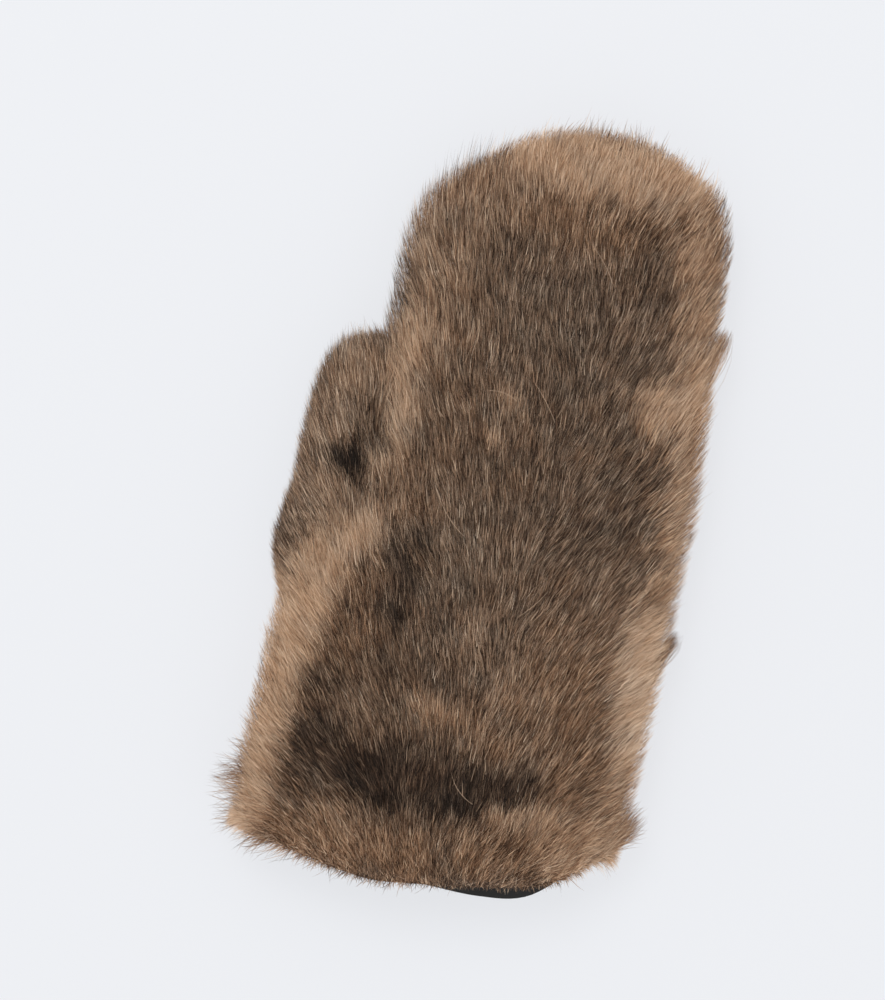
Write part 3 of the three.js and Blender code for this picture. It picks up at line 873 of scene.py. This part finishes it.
# The palm's fur wraps up both sides to the side seam. Under the mitten it is pressed flat by its weight, so
# there the hairs lie along the skin, and at the sides they stand out as the back's do.
PRESSED_BELOW = 4.5
palm_grid = hand_grid(np.linspace(-math.pi, JUST_BELOW_SEAM, FUR_TURNS), SKIN_OUTSIDE, FUR_STATIONS)
side_hair = dict(cover_hair, locks=2500, lifts=(0.5, 0.2), width=(0.3, 0.55))
side_tips = dict(hair_tips, locks=2500)
pressed_hair = dict(
    side_hair,
    width=(0.6, 1.0),
    lifts=(0.06, 0.0),
    reach=1.2,
    spread=0.08,
    pale_share=0.05,
)
pressed_tips = dict(
    pressed_hair,
    above=(0.3, 1.0),
    length=(6, 11),
    width=(0.3, 0.55),
    lifts=(0.04,),
    spread=0.14,
)


def pressed(points):
    """True where the mitten's weight rests on its fur."""
    return points[:, 2] < PRESSED_BELOW


def standing(points):
    """True where the fur of the palm's sides is free."""
    return points[:, 2] >= PRESSED_BELOW


coat("palm_side_hair", "palm_fur", palm_grid, 44000, thumb_covers, 41, side_hair, standing)
coat("palm_side_tips", "palm_fur", palm_grid, 90000, thumb_covers, 43, side_tips, standing)
coat("palm_pressed_hair", "palm_fur", palm_grid, 12000, thumb_covers, 42, pressed_hair, pressed)
coat("palm_pressed_tips", "palm_fur", palm_grid, 42000, thumb_covers, 44, pressed_tips, pressed)

# The thumb's pelt is wrapped round its bag and sewn to the hand's at its root. It has the same coats of hair
# as the back, a little shorter, wherever it stands free of the hand.
THUMB_FUR_TURNS = 120
THUMB_FUR_STATIONS = 120
round_thumb = np.linspace(-math.pi, math.pi, THUMB_FUR_TURNS)
thumb_fur_grid = thumb_grid(round_thumb, SKIN_OUTSIDE, THUMB_FUR_STATIONS)
thumb_tips = dict(hair_tips, locks=900, above=(1.7, 5.5), length=(3.5, 7))
thumb_hair = dict(cover_hair, locks=900, length=(9, 14), reach=6)
thumb_guard = dict(guard_hair, locks=900, length=(11, 17), reach=7.5)
thumb_wool = dict(underfur, locks=900, length=(5, 8), reach=4)
coat("thumb_tips", "thumb_fur", thumb_fur_grid, 62000, hand_covers, 50, thumb_tips)
coat("thumb_hair", "thumb_fur", thumb_fur_grid, 12000, hand_covers, 51, thumb_hair)
coat("thumb_guard_hair", "thumb_fur", thumb_fur_grid, 3500, hand_covers, 52, thumb_guard)
coat("thumb_underfur", "thumb_fur", thumb_fur_grid, 9000, hand_covers, 53, thumb_wool)

# Round the cuff the fur ends in a soft fringe of short hairs that grow at the skin's cut edge and turn out
# over it, three quarters of them on the back. They are longer at the corners and leave the lining clear.
FRINGE_HAIRS = 5200
FRINGE_MARGIN = 0.02
FRINGE_DEEP = 2.5
FRINGE_LENGTH = (2.2, 4.6)
FRINGE_LIFTS = ((0.5, 1.3), (0.0, 0.5), (-0.3, 0.1))
FRINGE_REACH = 4.5
CORNER_SIDEWAYS = 2.2
CORNER_LENGTH = 2.2
CORNER_REACH = 4
LINING_SHOWS_AT = 28
LINING_SHOWS_HALF = 26
SHORT_OVER_LINING = 0.6
rng = np.random.default_rng(61)
on_back = rng.uniform(FRINGE_MARGIN, 1 - FRINGE_MARGIN, FRINGE_HAIRS * 3 // 4)
on_palm = rng.uniform(FRINGE_MARGIN - 1, -FRINGE_MARGIN, FRINGE_HAIRS // 4)
turn = np.concatenate([on_back, on_palm]) * math.pi
fringe_start = cuff_start(turn, SKIN_OUTSIDE) + rng.uniform(0, FRINGE_DEEP, len(turn))
fringe_roots = on_section(hand_section, fringe_start, turn, SKIN_OUTSIDE)
fringe_facing = unit(on_section(hand_section, fringe_start, turn, SKIN_OUTSIDE + 1) - fringe_roots)
corner = np.clip(np.abs((fringe_roots[:, 0] - CUFF_MIDDLE) / CUFF_HALF), 0, 1.1) ** 4
sideways = np.sign(fringe_roots[:, 0] - CUFF_MIDDLE) * corner
heading = np.stack([CORNER_SIDEWAYS * sideways, rng.uniform(-1.0, 0.5, len(turn)), np.zeros(len(turn))], -1)
heading = unit(heading + rng.normal(0, 0.5, heading.shape) * [1, 1, 0.2])
length = rng.uniform(*FRINGE_LENGTH, len(turn)) * (1 + CORNER_LENGTH * corner)
over_lining = np.abs(fringe_roots[:, 0] - LINING_SHOWS_AT)
length[over_lining < LINING_SHOWS_HALF] *= SHORT_OVER_LINING
# Three lifts are drawn for each hair, and these short hairs end after the second.
lifts = [rng.uniform(low, high, len(turn)) for low, high in FRINGE_LIFTS]
reach = FRINGE_REACH + CORNER_REACH * corner
paths = grow(fringe_roots, fringe_facing, heading, length, lifts[:2], reach)
tone, warmth = tones_of(paths, rng, dict(cover_hair, root_tone=0.0, tip_tone=0.1))
kept = (turn > 0) | (over_lining > LINING_SHOWS_HALF)
width, turned = rng.uniform((0.12, -1), (0.28, 1), (np.count_nonzero(kept), 2)).T
# The fringe's tone is raised by 0.1: painted light that makes up for the shade the fringe lies in at the
# cuff's edge.
hair_piece(
    "cuff_fringe",
    "back_fur",
    paths[kept],
    fringe_facing[kept],
    width,
    turned,
    tone[kept] + 0.1,
    warmth[kept],
)

# A few tufts of longer hair stand proud of the two sides and of the cuff's corners, where the pelts' edges
# meet in the seam, pale at the foot and dark at the tip. A heading of 0 degrees points to the fingertips
# and 90 to the far side, out is mm above the skin, and drawn is how much the hairs come to a point.
TUFT_STEPS = 4
TUFT_AROUND = 9
TUFT_ALONG = 4.5
TUFT_HEADINGS = 13
TUFT_BEND = 9
TUFT_SLOPE = (0.15, 0.12)
TUFT_DROOP = 0.06
TUFT_LENGTH = (0.35, 1.1)
TUFT_WIDTH = (0.08, 0.18)
TUFT_WARMTH = 0.5
tuft_columns = ("turn", "y", "heading", "length", "out", "drawn", "hairs", "tone")
tufts = np.array(
    [
        (3, 203, 10, 30, 6.0, 0.80, 240, 0.72),
        (4, 97, 23, 22, 5.5, 0.80, 160, 0.58),
        (8, 30, 30, 21, 4.5, 0.55, 280, 0.70),
        (6, 23, 44, 18, 3.0, 0.40, 160, 0.66),
        (173, 24, -92, 19, 1.5, 0.30, 220, 0.64),
        (168, 32, -74, 15, 1.5, 0.30, 140, 0.60),
        (188, 14, -112, 17, 0.0, 0.20, 150, 0.66),
        (145, 8, -122, 15, 0.0, 0.25, 180, 0.62),
        (118, 4, -140, 8, 0.0, 0.00, 80, 0.55),
        (96, 2, -155, 6, 0.0, 0.00, 90, 0.50),
    ],
    dtype=[(column, float) for column in tuft_columns],
)
for number, tuft in enumerate(tufts):
    rng = np.random.default_rng(70 + number)
    count = int(tuft["hairs"])
    turn = np.radians(tuft["turn"] + rng.normal(0, TUFT_AROUND, count))
    y = tuft["y"] + rng.normal(0, TUFT_ALONG, count)
    y = np.maximum(y, cuff_start(turn, SKIN_OUTSIDE) + 0.5)
    roots = on_section(hand_section, y, turn, SKIN_OUTSIDE + tuft["out"])
    angle = np.radians(tuft["heading"] + rng.normal(0, TUFT_HEADINGS, count))
    bend = np.radians(rng.normal(0, TUFT_BEND, count))
    slope = rng.normal(*TUFT_SLOPE, count)
    step = rng.uniform(*TUFT_LENGTH, count) * tuft["length"] / TUFT_STEPS
    paths = [roots]
    for _ in range(TUFT_STEPS):
        way = np.stack([np.sin(angle), np.cos(angle), slope], -1)
        paths.append(paths[-1] + way * step[:, None])
        angle, slope = angle + bend, slope - TUFT_DROOP
    paths = np.stack(paths, 1)
    share = np.linspace(0, 1, TUFT_STEPS + 1)
    paths += (paths.mean(0) - paths) * (share * tuft["drawn"])[:, None]
    up = np.tile([0.0, 0.0, 1.0], (count, 1))
    own = tuft["tone"] + rng.normal(0, 0.14, (count, 1))
    tone = own + np.interp(share, (0, 0.5, 1), (0.12, 0.05, -0.25))
    width = rng.uniform(*TUFT_WIDTH, count)
    turned = rng.uniform(-1, 1, count)
    warmth = np.full(count, TUFT_WARMTH)
    hair_piece(f"tuft_{number + 1}", "palm_fur", paths, up, width, turned, tone, warmth)

# Some long, pale, shed hairs have come to lie over the fur of the back. Each is one fine, bent strip that
# follows the fur's surface.
LOOSE_HAIRS = 9
LOOSE_STEPS = 9
LOOSE_HEADING = (-0.2, 0.7)
LOOSE_BEND = 0.09
LOOSE_LENGTH = (12, 26)
LOOSE_WIDTH = 0.11
LOOSE_TONE = 0.85
LOOSE_WARMTH = 0.4
FUR_SURFACE = 10
rng = np.random.default_rng(90)
points, facing = scatter(back_grid, LOOSE_HAIRS, rng)
angle = rng.normal(*LOOSE_HEADING, LOOSE_HAIRS)
bend = rng.normal(0, LOOSE_BEND, LOOSE_HAIRS)
length = rng.uniform(*LOOSE_LENGTH, LOOSE_HAIRS)
paths = [points + facing * FUR_SURFACE]
for _ in range(LOOSE_STEPS):
    way = np.stack([np.sin(angle), np.cos(angle), np.zeros(LOOSE_HAIRS)], -1)
    way = unit(way - np.sum(way * facing, 1, keepdims=True) * facing)
    paths.append(paths[-1] + way * (length / LOOSE_STEPS)[:, None])
    angle = angle + bend
paths = np.stack(paths, 1)
width = np.full(LOOSE_HAIRS, LOOSE_WIDTH)
flat = np.zeros(LOOSE_HAIRS)
tone = np.full(paths.shape[:2], LOOSE_TONE)
warmth = np.full(LOOSE_HAIRS, LOOSE_WARMTH)
hair_piece("loose_hairs", "back_fur", paths, facing, width, flat, tone, warmth)

# The mitten lies palm down on a plain pale table in soft, even light, and the camera looks straight down on
# it from above, turned so that the mitten leans to the right in the picture.
LOOK_AT = (-26.5 * MM, 8.7 * MM)
VIEW_TALL = 367 * MM
CAMERA_HEIGHT = 1.6
AIM_HEIGHT = 25 * MM
LEAN = math.radians(12.5)
SENSOR_TALL = 24
LAMP_AT = (-0.5, 0.7, 1.7)
LAMP_SIZE = 0.9
LAMP_WATTS = 11
TABLE_HALF = 3

table_top = bpy.data.materials.new("pale table")
table_top.use_nodes = True
table_top_shader = table_top.node_tree.nodes["Principled BSDF"]
table_top_shader.inputs["Base Color"].default_value = (0.15, 0.1525, 0.1575, 1)
table_top_shader.inputs["Roughness"].default_value = 0.9
table_top_shader.inputs["Emission Color"].default_value = (0.86, 0.875, 0.91, 1)
table_top_shader.inputs["Emission Strength"].default_value = 0.775
table_mesh = bpy.data.meshes.new("table")
table_corners = [(x * TABLE_HALF, y * TABLE_HALF, 0) for x, y in ((-1, -1), (1, -1), (1, 1), (-1, 1))]
table_mesh.from_pydata(table_corners, [], [(0, 1, 2, 3)])
table_mesh.materials.append(table_top)
table = bpy.data.objects.new("table", table_mesh)
bpy.context.scene.collection.objects.link(table)

sky = bpy.data.worlds.new("soft room")
sky.use_nodes = True
sky.node_tree.nodes["Background"].inputs["Color"].default_value = (1, 1, 1, 1)
sky.node_tree.nodes["Background"].inputs["Strength"].default_value = 0.92
bpy.context.scene.world = sky


def soft_box(name, place, aim, size, watts):
    """A square lamp at a place, turned to shine at another."""
    lamp = bpy.data.lights.new(name, "AREA")
    lamp.size = size
    lamp.energy = watts
    holder = bpy.data.objects.new(name, lamp)
    away = Vector(place) - Vector(aim)
    holder.matrix_world = Matrix.Translation(place) @ away.to_track_quat("Z", "Y").to_matrix().to_4x4()
    bpy.context.scene.collection.objects.link(holder)


soft_box("overhead lamp", LAMP_AT, (0, 0, 0), LAMP_SIZE, LAMP_WATTS)

lens = bpy.data.cameras.new("camera")
lens.sensor_fit = "VERTICAL"
lens.sensor_height = SENSOR_TALL
lens.lens = SENSOR_TALL * CAMERA_HEIGHT / VIEW_TALL
lens.clip_start = 0.01
camera = bpy.data.objects.new("camera", lens)
over = Matrix.Translation((*LOOK_AT, CAMERA_HEIGHT + AIM_HEIGHT))
camera.matrix_world = over @ Matrix.Rotation(LEAN, 4, "Z")
bpy.context.scene.collection.objects.link(camera)
bpy.context.scene.camera = camera
bpy.context.scene.view_settings.view_transform = "Standard"
